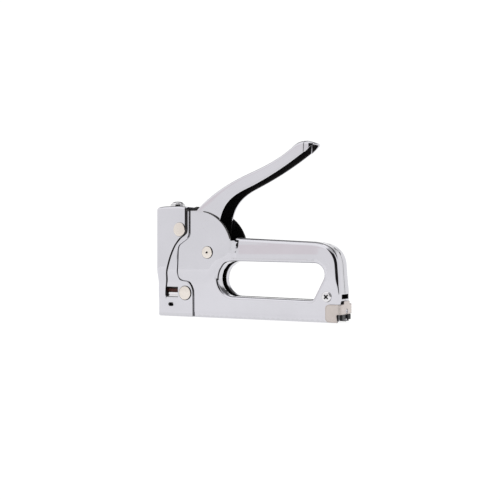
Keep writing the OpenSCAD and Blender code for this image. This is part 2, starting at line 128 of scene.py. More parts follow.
def arc(centre, radius, start, end, count):
    """Points along an arc, with angles in degrees."""
    points = []
    for i in range(count + 1):
        a = math.radians(mix(start, end, i / count))
        points.append((centre[0] + radius * math.cos(a), centre[1] + radius * math.sin(a)))
    return points


def quarter(count, first=1):
    """Sine and cosine at even steps of a quarter turn."""
    turns = [math.pi / 2 * k / count for k in range(first, count + 1)]
    return [(math.sin(a), math.cos(a)) for a in turns]


def rectangle(x0, z0, x1, z1):
    return [(x0, z0), (x1, z0), (x1, z1), (x0, z1)]


def spread(points, step):
    """The same open line with points no further apart than step."""
    out = [points[0]]
    for p, q in zip(points, points[1:]):
        n = max(1, math.ceil(math.dist(p, q) / step))
        out += [(mix(p[0], q[0], i / n), mix(p[1], q[1], i / n)) for i in range(1, n + 1)]
    return out


def along(points, share):
    """The point at a share of a line's length."""
    lengths = [math.dist(p, q) for p, q in zip(points, points[1:])]
    left = share * sum(lengths)
    for p, q, length in zip(points, points[1:], lengths):
        if left <= length and length > 0:
            return (mix(p[0], q[0], left / length), mix(p[1], q[1], left / length))
        left -= length
    return points[-1]


def lookup(knots, at):
    """Value of a smooth curve through (place, value) knots that never overshoots them."""
    if at <= knots[0][0]:
        return knots[0][1]
    if at >= knots[-1][0]:
        return knots[-1][1]
    i = max(k for k in range(len(knots) - 1) if knots[k][0] <= at)
    slopes = [(b[1] - a[1]) / (b[0] - a[0]) for a, b in zip(knots, knots[1:])]

    def tangent(k):
        if k == 0 or k == len(slopes):
            return slopes[min(k, len(slopes) - 1)]
        a, b = slopes[k - 1], slopes[k]
        return 0.0 if a * b <= 0 else 2 * a * b / (a + b)

    (x0, y0), (x1, y1) = knots[i], knots[i + 1]
    h = x1 - x0
    t = (at - x0) / h
    return (y0 * (1 + 2 * t) * (1 - t) ** 2 + h * tangent(i) * t * (1 - t) ** 2
            + y1 * t * t * (3 - 2 * t) + h * tangent(i + 1) * t * t * (t - 1))


def side_of(line, x, z):
    """Distance from (x, z) to an open line, positive on the line's right-hand side."""
    best, sign = 1e9, 1.0
    for (x0, z0), (x1, z1) in zip(line, line[1:]):
        dx, dz = x1 - x0, z1 - z0
        t = min(max(((x - x0) * dx + (z - z0) * dz) / (dx * dx + dz * dz), 0.0), 1.0)
        d = math.hypot(x - x0 - t * dx, z - z0 - t * dz)
        if d < best - 1e-9:
            best, sign = d, 1.0 if dz * (x - x0) - dx * (z - z0) >= 0 else -1.0
    return best * sign


def hull(points):
    """Convex outline round some points, anticlockwise."""
    points = sorted(set(points))

    def half(ordered):
        chain = []
        for p in ordered:
            while len(chain) > 1 and ((chain[-1][0] - chain[-2][0]) * (p[1] - chain[-2][1])
                                      <= (chain[-1][1] - chain[-2][1]) * (p[0] - chain[-2][0])):
                chain.pop()
            chain.append(p)
        return chain[:-1]

    return half(points) + half(points[::-1])


def inside(loop, x, z):
    hit = False
    for (x0, z0), (x1, z1) in zip(loop, loop[1:] + loop[:1]):
        if (z0 > z) != (z1 > z) and x < x0 + (z - z0) / (z1 - z0) * (x1 - x0):
            hit = not hit
    return hit


# ---------- surfaces ----------

class Surface:
    """A surface under construction: points in millimetres, and faces."""

    def __init__(self):
        self.points = []
        self.faces = []
        self.dark = set()  # numbers of the faces given the near-black painted shade

    def grid(self, rows, closed=False, dark=()):
        """Quads between rows of points. A closed grid joins each row's ends. Dark holds the (row, column) of each
        face painted near-black as shade in a crease."""
        start, n = len(self.points), len(rows[0])
        for row in rows:
            self.points += row
        for r in range(len(rows) - 1):
            for i in range(n if closed else n - 1):
                a, b = start + r * n + i, start + r * n + (i + 1) % n
                if (r, i) in dark:
                    self.dark.add(len(self.faces))
                self.faces.append((a, b, b + n, a + n))

    def cap(self, ring):
        start = len(self.points)
        self.points += ring
        self.faces.append(tuple(range(start, start + len(ring))))

    def net(self, outline, holes, place, step, creases=(), dark_at=None):
        """Fills a flat outline with a fine net of triangles, each point put in space by place().
        Its edges follow the creases, which are open lines. Faces get the near-black painted shade where dark_at()
        says."""
        loops = [outline] + holes
        flat, edges = [], []
        for loop in loops:
            start = len(flat)
            flat += [Vector(p) for p in loop]
            edges += [(start + i, start + (i + 1) % len(loop)) for i in range(len(loop))]
        rim = len(flat)
        for crease in creases:
            edges += [(len(flat) + i, len(flat) + i + 1) for i in range(len(crease) - 1)]
            flat += [Vector(p) for p in crease]
        tree = kdtree.KDTree(len(flat))
        for i, p in enumerate(flat):
            tree.insert((p.x, p.y, 0), i)
        tree.balance()
        z_low, z_high = min(p[1] for p in outline), max(p[1] for p in outline)
        row = 0
        z = z_low + step / 2
        while z < z_high:
            cuts = sorted(x0 + (z - z0) / (z1 - z0) * (x1 - x0) for loop in loops
                          for (x0, z0), (x1, z1) in zip(loop, loop[1:] + loop[:1])
                          if (z0 > z) != (z1 > z))
            for x_in, x_out in zip(cuts[::2], cuts[1::2]):
                x = math.ceil(x_in / step) * step + (row % 2) * step / 2
                while x < x_out:
                    if tree.find((x, z, 0))[2] > 0.6 * step:
                        flat.append(Vector((x, z)))
                    x += step
            z += step * 0.87
            row += 1
        points, _, faces, origin, _, _ = delaunay_2d_cdt(flat, edges, [], 0, 1e-6)
        on_rim = [any(k < rim for k in ids) for ids in origin]
        start = len(self.points)
        self.points += [place(p.x, p.y) for p in points]
        for face in faces:
            x = sum(points[i].x for i in face) / len(face)
            z = sum(points[i].y for i in face) / len(face)
            if not all(on_rim[i] for i in face) or (
                    inside(outline, x, z) and not any(inside(hole, x, z) for hole in holes)):
                if dark_at and dark_at(x, z):
                    self.dark.add(len(self.faces))
                self.faces.append(tuple(start + i for i in face))

    def mirrored(self, both=False):
        """The same surface on the other side of the tool, or both sides together."""
        other = Surface()
        other.points = [(x, -y, z) for x, y, z in self.points]
        other.faces = [tuple(reversed(face)) for face in self.faces]
        other.dark = set(self.dark)
        if both:
            start, count = len(other.points), len(other.faces)
            other.points += self.points
            other.faces += [tuple(start + i for i in face) for face in self.faces]
            other.dark |= {count + i for i in self.dark}
        return other

    def mesh(self, name, core=None, windows=()):
        """Mesh in metres with its doubled points joined, facing away from core. Windows are the
        arguments of punch() for each opening cut through the surface."""
        mesh = bpy.data.meshes.new(name)
        mesh.from_pydata([Vector(p) * MM for p in self.points], [], self.faces)
        for i in self.dark:
            mesh.polygons[i].material_index = 1
        bm = bmesh.new()
        bm.from_mesh(mesh)
        bmesh.ops.remove_doubles(bm, verts=bm.verts, dist=WELD * MM)
        bmesh.ops.dissolve_degenerate(bm, edges=bm.edges, dist=0.002 * MM)
        bmesh.ops.recalc_face_normals(bm, faces=bm.faces)
        for window in windows:
            punch(bm, *window)
        if core is not None:
            centre = Vector(core) * MM
            facing = sum(f.calc_area() * f.normal.dot((f.calc_center_median() - centre).normalized())
                         for f in bm.faces)
            if facing < 0:
                bmesh.ops.reverse_faces(bm, faces=bm.faces)
        bm.to_mesh(mesh)
        bm.free()
        return mesh


def punch(bm, outline, beyond=None):
    """Cuts a convex anticlockwise outline out of a sheet, straight through from side to side, or,
    with beyond, an outline on the rear view through what lies beyond that x."""
    across = 0 if beyond is None else 1
    us, zs = [p[0] * MM for p in outline], [p[1] * MM for p in outline]

    def meets(face, axis, values):
        places = [v.co[axis] for v in face.verts]
        return min(places) < max(values) and max(places) > min(values)

    faces = [f for f in bm.faces if meets(f, across, us) and meets(f, 2, zs)
             and (beyond is None or min(v.co.x for v in f.verts) > beyond * MM)]
    for p, q in zip(outline, outline[1:] + outline[:1]):
        point, outward = Vector((0, 0, p[1])) * MM, Vector((0, 0, p[0] - q[0]))
        point[across], outward[across] = p[0] * MM, q[1] - p[1]
        outward.normalize()
        geometry = set(faces)
        for face in faces:
            geometry.update(face.edges)
            geometry.update(face.verts)
        cut = bmesh.ops.bisect_plane(bm, geom=list(geometry), plane_co=point, plane_no=outward,
                                     dist=1e-7)
        faces = [f for f in cut["geom"] if isinstance(f, bmesh.types.BMFace)
                 and (f.calc_center_median() - point).dot(outward) < 0]
    bmesh.ops.delete(bm, geom=faces, context="FACES")


def solid(rings):
    """A closed body made of rings of points."""
    surface = Surface()
    surface.grid(rings, closed=True)
    surface.cap(rings[0])
    surface.cap(rings[-1])
    return surface


def on_axis(centre, axis, radius, turn, place):
    """The point at a radius and an angle round an axis through centre, and at a place along it."""
    u, v = radius * math.cos(turn), radius * math.sin(turn)
    p = {"x": (place, u, v), "y": (u, place, v), "z": (u, v, place)}[axis]
    return (centre[0] + p[0], centre[1] + p[1], centre[2] + p[2])


def lathe(centre, axis, profile, count=48):
    """Surface turned round an axis through centre: profile is (radius, place along the axis)."""
    return solid([[on_axis(centre, axis, radius, 2 * math.pi * i / count, place) for i in range(count)]
                  for radius, place in profile])


def dark_cutter(rings):
    """A body that leaves near-black painted shade on the faces it cuts."""
    surface = solid(rings)
    surface.dark = set(range(len(surface.faces)))
    return surface


def spring(centre, axis, radius, wire, start, end, turns, flat_turns=0.8, steps=24, sides=10):
    """Round wire wound along an axis, with closed, flatter turns at both ends."""
    count = round(turns * steps)
    pitch_turns = turns - 2 * flat_turns
    closed_rise = wire * 1.05  # rise of one closed turn
    length = end - start - wire
    rows = []
    for i in range(count + 1):
        turn = turns * i / count
        if turn < flat_turns:
            place = turn * closed_rise
        elif turn > turns - flat_turns:
            place = length - (turns - turn) * closed_rise
        else:
            place = mix(flat_turns * closed_rise, length - flat_turns * closed_rise,
                        (turn - flat_turns) / pitch_turns)
        place += start + wire / 2
        row = []
        for k in range(sides):
            b = 2 * math.pi * k / sides
            row.append(on_axis(centre, axis, radius + wire / 2 * math.cos(b), 2 * math.pi * turn,
                               place + wire / 2 * math.sin(b)))
        rows.append(row)
    return solid(rows)


# ---------- materials ----------

def set_inputs(n, values):
    for key, value in values.items():
        n.inputs[key].default_value = value


def node(tree, kind, inputs=None, **settings):
    n = tree.nodes.new(kind)
    for key, value in settings.items():
        setattr(n, key, value)
    set_inputs(n, inputs or {})
    return n


def remap(tree, source, low_in, high_in, low_out, high_out):
    """A node that carries one range of a value to another."""
    n = node(tree, "ShaderNodeMapRange", {"From Min": low_in, "From Max": high_in,
                                          "To Min": low_out, "To Max": high_out})
    tree.links.new(source, n.inputs["Value"])
    return n.outputs["Result"]


def blend_colours(tree, share, first, second):
    n = node(tree, "ShaderNodeMix", data_type="RGBA")
    for socket, colour in zip((s for s in n.inputs if s.type == "RGBA"), (first, second)):
        socket.default_value = (*colour, 1)
    tree.links.new(share, n.inputs["Factor"])
    return next(s for s in n.outputs if s.type == "RGBA")


PATCH_SCALE, SMUDGE_SCALE, SCRATCH_SCALE = 38.0, 90.0, 420.0
WORN_EDGE = (0.52, 0.60)  # pointiness at which an edge begins to wear, and is worn
SCRATCH_DEPTH = 0.01


def surface_material(name, colour, worn, metallic, rough, grain, grain_size, bump, scratch=0.0,
                     scratch_axis=(1, 14, 1)):
    """Procedural finish: mottled colour, uneven roughness, fine grain, scratches and worn edges.

    rough is (smoothest, roughest); grain_size is the size of the grain in millimetres.
    """
    mat = bpy.data.materials.new(name)
    mat.use_nodes = True
    tree = mat.node_tree
    link = tree.links.new
    shader = tree.nodes["Principled BSDF"]
    shader.inputs["Metallic"].default_value = metallic
    place = node(tree, "ShaderNodeTexCoord").outputs["Object"]

    def noise(scale, detail=3.0, stretch=None):
        n = node(tree, "ShaderNodeTexNoise", {"Scale": scale, "Detail": detail})
        source = place
        if stretch:
            m = node(tree, "ShaderNodeMapping", {"Scale": stretch})
            link(place, m.inputs["Vector"])
            source = m.outputs["Vector"]
        link(source, n.inputs["Vector"])
        return n.outputs["Fac"]

    def relief(height, strength, depth, under=None):
        n = node(tree, "ShaderNodeBump", {"Strength": strength, "Distance": depth * MM})
        link(height, n.inputs["Height"])
        if under is not None:
            link(under, n.inputs["Normal"])
        return n.outputs["Normal"]

    patches = noise(PATCH_SCALE, 4.0)
    edges = node(tree, "ShaderNodeNewGeometry").outputs["Pointiness"]
    share = node(tree, "ShaderNodeMath", operation="MAXIMUM")
    link(remap(tree, patches, 0.42, 0.74, 0.0, 0.55), share.inputs[0])
    link(remap(tree, edges, *WORN_EDGE, 0.0, 1.0), share.inputs[1])
    link(blend_colours(tree, share.outputs[0], colour, worn), shader.inputs["Base Color"])

    smudges = noise(SMUDGE_SCALE, 5.0)
    link(remap(tree, smudges, 0.35, 0.75, rough[0], rough[1]), shader.inputs["Roughness"])

    normal = relief(noise(1 / (grain_size * MM), 2.0), bump, grain)
    if scratch:
        lines = noise(SCRATCH_SCALE, 2.0, scratch_axis)
        normal = relief(remap(tree, lines, 0.60, 0.72, 0.0, 1.0), scratch, SCRATCH_DEPTH, normal)
    link(normal, shader.inputs["Normal"])
    return mat


CHROME = surface_material("chrome_plate", (0.645, 0.638, 0.680), (0.60, 0.595, 0.63), 1.0,
                          (0.035, 0.10), 0.01, 1.5, 0.04, scratch=0.03)
# Near-black: the sheets' dark inner faces, and painted shade in creases, shadow gaps, recesses, dimples and along
# sheet edges.
INSIDE_AND_PAINTED_SHADE = surface_material("dark_inside_and_painted_shade", (0.022, 0.020, 0.022), (0.05, 0.046, 0.045), 0.6,
                                 (0.30, 0.45), 0.02, 0.8, 0.15)
NICKEL = surface_material("nickel_plate", (0.79, 0.735, 0.68), (0.62, 0.56, 0.52), 1.0, (0.10, 0.20),
                          0.02, 0.6, 0.12, scratch=0.06)
# Bright nickel of the screws; on the bumper plate it stands brighter than chrome as a painted highlight.
SILVER = surface_material("bright_nickel_and_highlight", (0.76, 0.75, 0.77), (0.60, 0.59, 0.60), 1.0, (0.08, 0.18),
                          0.02, 0.6, 0.12, scratch=0.06)
CLIP_NICKEL = surface_material("brushed_nickel", (0.60, 0.545, 0.515), (0.50, 0.45, 0.43), 1.0,
                               (0.16, 0.30), 0.02, 0.5, 0.2, scratch=0.15)
STEEL = surface_material("bright_steel", (0.42, 0.42, 0.44), (0.30, 0.29, 0.29), 1.0, (0.22, 0.38),
                         0.02, 0.5, 0.15, scratch=0.10, scratch_axis=(14, 1, 1))
SPRING_STEEL = surface_material("spring_steel", (0.33, 0.33, 0.35), (0.20, 0.20, 0.21), 1.0, (0.25, 0.40),
                                0.02, 0.4, 0.12, scratch=0.05)
DARK_STEEL = surface_material("blackened_steel", (0.035, 0.034, 0.036), (0.10, 0.095, 0.09), 0.9,
                              (0.35, 0.55), 0.03, 0.5, 0.25)
RUBBER = surface_material("bumper_rubber", (0.20, 0.055, 0.035), (0.13, 0.04, 0.03), 0.0, (0.60, 0.78),
                          0.05, 0.35, 0.4)
PLASTIC = surface_material("black_plastic", (0.012, 0.012, 0.013), (0.03, 0.03, 0.032), 0.0,
                           (0.42, 0.58), 0.03, 0.3, 0.3)


# ---------- making pieces ----------

SHARP_ANGLE = 34


def add_object(name, data):
    obj = bpy.data.objects.new(name, data)
    bpy.context.scene.collection.objects.link(obj)
    return obj


def soften(obj, width, angle):
    """Rounds the edges that turn by more than an angle in degrees."""
    edge = obj.modifiers.new("edge", "BEVEL")
    edge.width = width * MM
    edge.segments = 2
    edge.limit_method = "ANGLE"
    edge.angle_limit = math.radians(angle)


def apply_modifiers(obj):
    """Turns the modified shape into the object's own mesh."""
    bpy.context.view_layer.update()
    evaluated = obj.evaluated_get(bpy.context.evaluated_depsgraph_get())
    mesh = bpy.data.meshes.new_from_object(evaluated)
    obj.modifiers.clear()
    obj.data = mesh


def shade(obj):
    """Smooth shading, broken only where faces meet at more than the sharp angle."""
    bm = bmesh.new()
    bm.from_mesh(obj.data)
    limit = math.radians(SHARP_ANGLE)
    for edge in bm.edges:
        edge.smooth = len(edge.link_faces) == 2 and edge.calc_face_angle(0) < limit
    for face in bm.faces:
        face.smooth = True
    bm.to_mesh(obj.data)
    bm.free()


def piece(name, surface, material, body, nodes, core=None, thickness=0.0, cutters=(), windows=(),
          bevel=0.0, even=True, dark_rim=False):
    """One finished piece of the object, which stands for the CAD nodes named."""
    obj = add_object(name, surface.mesh(name, core, windows))
    obj.data.materials.append(material)
    # Second material: the dark inner faces, and painted shade in creases, cut faces and, with dark_rim, along the
    # sheet edges.
    if thickness or cutters or surface.dark:
        obj.data.materials.append(INSIDE_AND_PAINTED_SHADE)
    if thickness:
        solid = obj.modifiers.new("thickness", "SOLIDIFY")
        solid.thickness = thickness * MM
        solid.offset = -1
        solid.use_even_offset = even
        solid.use_quality_normals = True
        solid.material_offset = 1
        solid.material_offset_rim = 1 if dark_rim else 0
    tools = []
    for i, cutter in enumerate(cutters):
        tool = add_object(f"{name}_cut_{i}", cutter.mesh(f"{name}_cut_{i}"))
        cut = obj.modifiers.new(f"cut_{i}", "BOOLEAN")
        cut.object = tool
        cut.operation = "DIFFERENCE"
        cut.solver = "EXACT"
        tools.append(tool)
    if bevel:
        soften(obj, bevel, 50)
    apply_modifiers(obj)
    for tool in tools:
        bpy.data.objects.remove(tool)
    shade(obj)
    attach(obj, body)
    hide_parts(*nodes)
    return obj


# ---------- body shells ----------

SHOULDER_R, REAR_REACH = 3.2, 1.3  # the corner is tighter low down at the rear
REAR_REACH_Z = (24, 34)
LIP_R = 1.9  # rounding of the finger opening's rim
LIP_LINE_ROWS = (3, 4, 5)  # rows of the rim with a painted dark reflection at its upper left
LIP_LINE_LOW, LIP_LINE_TURN = 31.2, 1.3
DOME_CENTRE, DOME_R = (-42.4, 54.2), 32.2
DOME_LINE = 0.6  # width of the painted shadow line along the dome's edge
GRIP_FRONT, GRIP_REAR = (-8.0, 64.3), (56.5, 61.0)
REAR_HIGH = (79.0, 44.0)  # where the rear begins to curve into the grip
NOTCH_Z = 62.0
SLOPE, STEEP_SLOPE = 4.2, 2.0  # width of the slope round the raised dome, low and high up
DOME_EDGE = [(-10.0, 75), (-10.0, 61), (-10.5, 53), (-14.4, 49.2), (-25.2, 44.9), (-31.8, 36.5),
             (-36.5, 30.8), (-50.4, 28.8), (-90, 28.3)]
DOME_FOOT_Z = (27.0, 38.0)
NOTCH_CREST = [(-10.0, 61.5), (-10.0, 61), (-10.46, 53.6)]
NOTCH_FOOT = [(-8.0, 60.4), (-8.46, 53.6)]
PANEL_TILT = math.tan(0.086)  # lean of the grip's upper panel
GRIP_CREASE_Z = 50.4
PANEL_HEIGHT, PANEL_FRONT, PANEL_REAR = 9.0, (-8, -6), (60, 72)
STEEP_Z = (46, 54)  # the dome's slope gets steeper over this height
BASE_CREASE_Z, BASE_CREASE = 4.3, 0.22
OPENING_FRONT = (-10.9, 31.6)
OPENING = hull(arc(OPENING_FRONT, 14.1, 0, 360, 72) + arc((59, 36), 8.6, 0, 360, 48)
               + arc((56, 20.4), 4.0, 0, 360, 32))


def body_half_width(x, z):
    """Half width of the pressed shells at a place on the side view: the raised dome with the slope
    round it, the leaning upper panel of the grip, and the drawn-in foot."""
    steep = ramp(z, *STEEP_Z)
    slope = 1 + side_of(DOME_EDGE, x, z) / mix(SLOPE, STEEP_SLOPE, steep)
    raised = mix(smooth(slope), min(max(slope, 0.0), 1.0), steep) * ramp(z, *DOME_FOOT_Z)
    width = mix(GRIP_W, DOME_W, raised)
    panel = min(max(z - GRIP_CREASE_Z, 0.0), PANEL_HEIGHT) * PANEL_TILT
    width -= panel * ramp(x, *PANEL_FRONT) * (1 - ramp(x, *PANEL_REAR))
    width -= BASE_CREASE * (1 - ramp(z, BASE_CREASE_Z - 0.9, BASE_CREASE_Z))
    return width


def rolled(points, radius, width_at, count, inward, reach_at=None):
    """Rows that roll from the flat side round a radius: the first row lies on the side view
    radius away from the line, or as far as reach_at says, the last one on the line itself."""
    rows = []
    n = len(points)
    normals = []
    for i in range(n):
        p, q = points[max(i - 1, 0)], points[min(i + 1, n - 1)]
        length = math.dist(p, q)
        normals.append((-(q[1] - p[1]) / length * inward, (q[0] - p[0]) / length * inward))
    reaches = [reach_at(p) if reach_at else radius for p in points]
    feet = [(p[0] + m[0] * far, p[1] + m[1] * far) for p, m, far in zip(points, normals, reaches)]
    widths = [width_at(*foot) for foot in feet]
    for sine, cosine in quarter(count, 0):
        share, drop = 1 - sine, radius * (1 - cosine)
        rows.append([(p[0] + m[0] * far * share, drop - w, p[1] + m[1] * far * share)
                     for p, m, w, far in zip(points, normals, widths, reaches)])
    return feet, rows


def carried_on(row, y_end, stops):
    """Rows that carry on level from the last rolled row to y_end."""
    return [[(x, mix(y, y_end, t), z) for x, y, z in row] for t in stops]


def shell_surface(flange_end):
    """One shell, drawn on the near side. Its flange round the finger opening stops at y = flange_end."""
    surface = Surface()
    crown = spread([(REAR_X, 0), (REAR_X, 22), REAR_HIGH], 1.6)[:-1] + [REAR_HIGH]
    crown += bezier(REAR_HIGH, (77.8, 54), (70.5, 60.4), GRIP_REAR, 26)
    crown += spread([GRIP_REAR, GRIP_FRONT], 1.5)[1:]
    feet, rows = rolled(crown, SHOULDER_R, body_half_width, 8, 1,
                        lambda p: mix(REAR_REACH, SHOULDER_R, ramp(p[1], *REAR_REACH_Z)))
    surface.grid(rows + carried_on(rows[-1], -SEAM, (0.35, 0.7, 1.0)))

    rim, lip = rolled(OPENING + OPENING[:1], LIP_R, body_half_width, 6, -1)
    flange = carried_on(lip[-1], flange_end, (0.25, 0.5, 0.75, 1.0))
    mid_x, mid_z = OPENING_FRONT
    # painted dark reflection on the rim of the finger opening at its upper left
    dark = {(r, i) for r in LIP_LINE_ROWS for i, (x, z) in enumerate(OPENING)
            if x < mid_x and z > LIP_LINE_LOW and math.atan2(z - mid_z, mid_x - x) < LIP_LINE_TURN}
    surface.grid(lip + flange, dark=dark)

    outline = spread([(FRONT_X, 28), (FRONT_X, 0), (feet[0][0], 0)], 1.6)[:-1] + feet
    outline += spread([feet[-1], (-8.9, NOTCH_Z), (DOME_CENTRE[0] + 31.24, NOTCH_Z)], 0.8)[1:-1]
    outline += arc(DOME_CENTRE, DOME_R, 14, 90, 44)
    outline += spread([(DOME_CENTRE[0], BODY_TOP), (-50.5, BODY_TOP), (-50.5, 78.3), (-77, 78.3), (-77, 28),
                       (FRONT_X, 28)], 1.6)[1:-1]
    creases = [spread(NOTCH_CREST, 0.6), spread(NOTCH_FOOT, 0.6),
               spread([(-4, GRIP_CREASE_Z), (62, GRIP_CREASE_Z)], 1.1),
               arc(DOME_CENTRE, DOME_R - DOME_LINE, 16, 80, 38)]

    def in_dome_line(x, z):
        """Painted shadow line where the lever's wall slides behind the dome's edge."""
        r = math.dist((x, z), DOME_CENTRE)
        return DOME_R - DOME_LINE < r < DOME_R + 0.1 and z > NOTCH_Z + 1.5 and x > DOME_CENTRE[0] + 6

    surface.net(outline, [rim[:-1]], lambda x, z: (x, -body_half_width(x, z), z), 1.15, creases,
                in_dome_line)
    return surface


# ---------- front cover ----------

BAND_EDGE = [(0.6, -47.2), (17, -47.3), (21, -47.5), (25, -48.9), (27.4, -50.6), (28.7, -52.7),
             (29.0, -55.8), (29.6, -58.8), (30.8, -60.6), (32.8, -61.4), (45, -60.8), (54, -60.5),
             (57.6, -59.6), (59.4, -58), (60.6, -56), (63.4, -51.7), (65.2, -49.8), (68.2, -48.8),
             (86.2, -48.8), (86.9, -49.4), (87.3, -50.6), (87.6, -51.7)]
HEAD_EDGE = [(0.6, -74.2), (17.7, -74.2), (24.5, -73.8), (38, -70.8), (48.5, -67.6), (57.5, -63.3),
             (61, -60.7), (64.3, -57.6), (66.4, -54.4), (68.6, -52.3), (71, -51.7), (90, -51.7)]
HEAD_REAR = -52.4
HEAD_TOP_LINE = [(NOSE_X, 89.0), (-78, 90.1), (-72, HEAD_TOP), (-60, HEAD_TOP), (HEAD_REAR, 89.8)]
BAND_LOW_W, HEAD_LOW_W = 11.2, 11.7
BAND_TOP = 87.4
TOP_R = 2.3
CORNER_LOW_R, CORNER_R = 2.6, 5.0  # rounding of the nose's upright corners
STEP_LOW_W, STEP_HIGH_W = 1.8, 2.6  # width of the step beside the head
EDGE_LOW_R, EDGE_HIGH_R = 0.45, 0.8  # rounding of the band's rear edge
GROOVE, GROOVE_AT = 0.5, 0.36  # depth of the groove in the step, and its place
EDGE_COUNT, BAND_COUNT, STEP_COUNT = 5, 7, 14
STEP_FIRST = EDGE_COUNT + BAND_COUNT  # the row's first point on the step
# faces of the head's step that are painted near-black as shade in its crease
CREASE_COLUMNS = range(STEP_FIRST, STEP_FIRST + 10)
EDGE_COLUMNS = range(1, 4)
EDGE_DARK_Z = (30, 64)  # the band's edge gets painted shade below and above these
CREASE_LOW = 15.7
CREASE_END = (13.5, 17.5)  # the head's step fades out over this height


def head_top(x):
    return lookup(HEAD_TOP_LINE, x)


def cover_row(z):
    """One row of the cover's side and front, from the band's rear edge round the nose to the middle."""
    band = mix(BAND_LOW_W, DOME_W + SHEET, ramp(z, 28, 38))
    head = mix(mix(BAND_LOW_W, HEAD_LOW_W, ramp(z, *CREASE_END)), HEAD_W, ramp(z, 26, 40))
    corner = mix(CORNER_LOW_R, CORNER_R, ramp(z, 26, 42))
    step_w = mix(STEP_LOW_W, STEP_HIGH_W, ramp(z, 58, 66))
    edge_r = mix(EDGE_LOW_R, EDGE_HIGH_R, max(ramp(z, 57, 64), 1 - ramp(z, 28, 31)))
    rear = lookup(BAND_EDGE, z)
    step_rear = lookup(HEAD_EDGE, z) + step_w / 2
    row = [(rear - edge_r * (1 - sine), band - edge_r * (1 - cosine))
           for sine, cosine in reversed(quarter(EDGE_COUNT - 1, 0))]
    row += [(mix(rear - edge_r, step_rear, i / (BAND_COUNT + 1)), band) for i in range(1, BAND_COUNT + 1)]
    for i in range(STEP_COUNT):
        t = i / STEP_COUNT
        groove = GROOVE * max(0.0, 1 - abs(t - GROOVE_AT) / GROOVE_AT) * ramp(z, *CREASE_END)
        row.append((step_rear - step_w * t, mix(band, head, ramp(t, 0.25, 0.95)) - groove))
    turn_x = NOSE_X + corner
    row += [(mix(step_rear - step_w, turn_x, i / 12), head) for i in range(12)]
    row += [(turn_x - corner * sine, head - corner * (1 - cosine)) for sine, cosine in quarter(10, 0)]
    row += [(NOSE_X, (head - corner) * (1 - i / 8)) for i in range(1, 9)]
    return [(x, -y, z) for x, y in row]


def cover_surface():
    surface = Surface()
    levels = [COVER_BASE]
    for stop, step in ((20, 1.6), (24.5, 0.8), (34, 0.3), (40, 0.8), (55, 1.5), (70, 0.5), (84, 1.6),
                       (BAND_TOP, 0.4)):
        count = max(1, round((stop - levels[-1]) / step))
        levels += [mix(levels[-1], stop, i / count) for i in range(1, count + 1)]
    rows = [cover_row(z) for z in levels]
    # painted shade: near-black faces in the head's step and along the band's edge
    dark = {(r, i) for r, z in enumerate(levels) if z > CREASE_LOW for i in CREASE_COLUMNS}
    dark |= {(r, i) for r, z in enumerate(levels) if z < EDGE_DARK_Z[0] or z > EDGE_DARK_Z[1]
             for i in EDGE_COLUMNS}
    surface.grid(rows, dark=dark)

    # above the band only the raised head goes on, rolls over and closes across the top
    rim = rows[-1][STEP_FIRST + STEP_COUNT - 1:]
    upper = [[(x, y, mix(z, max(head_top(x) - TOP_R, z + 0.1), share)) for x, y, z in rim]
             for share in (0, 0.5, 1.0)]
    corner_x, corner_y = NOSE_X + CORNER_R, HEAD_W - CORNER_R

    def drawn_in(x, y, inset):
        """A point of the rim moved in towards the middle of the head."""
        if x >= corner_x:
            return x, inset - HEAD_W
        if abs(y) <= corner_y:
            return x + inset, y
        a = math.atan2(corner_x - x, abs(y) - corner_y)
        return corner_x - (CORNER_R - inset) * math.sin(a), -(corner_y + (CORNER_R - inset) * math.cos(a))

    for sine, cosine in quarter(7):
        row = []
        for x, y, z in rim:
            u, v = drawn_in(x, y, TOP_R * (1 - cosine))
            row.append((u, v, max(head_top(u) - TOP_R, z + 0.1) + TOP_R * sine))
        upper.append(row)
    edge = upper[-1]
    spine_front = NOSE_X + 9.0  # the rows run together in a spine along the top
    for share in (0.25, 0.5, 0.75, 1.0):
        row = []
        for x, y, _ in edge:
            u = mix(x, max(x, spine_front), share)
            row.append((u, y * (1 - share), head_top(u)))
        upper.append(row)
    surface.grid(upper)
    # the head's rear end, closed above the band
    surface.grid([[(x, y * (1 - share), z) for share in (0, 0.25, 0.5, 0.75, 1)]
                  for x, y, z in (row[0] for row in upper[:upper.index(edge) + 1])])
    return surface.mirrored(both=True)


# ---------- lever ----------

ROOF_LOW, ROOF_MID, ROOF_HIGH = (-44.8, 87.2), (4, 116.4), (42, 136.2)
ROOF_FRONT = (-46.9, 82.6)
TIP_X, TIP_EDGE_Z = 58.6, 134.9
EDGE_LOW, EDGE_MID, EDGE_END = (-23.6, 74), (0, 103), (56.2, 134)
HUB_R = 8.8
TIP_R = 8.2
LEVER_SHOULDER = 2.9
CROWN, TIP_CROWN = 0.7, 2.2  # how far the roof rises above its shoulders
TIP_SQUARE = 0.6  # power below 1 that squares the tip's plan
TOP_SHARES = (0.2, 0.4, 0.6, 0.8, 1.0)  # places of a row's points across the top
ROOT_W, BAR_W = 11.5, 8.4


def lever_half_width(x):
    width = mix(ROOT_W, BAR_W, ramp(x, -32, 8))
    return mix(width, TIP_R, ramp(x, 42, TIP_X - TIP_R))


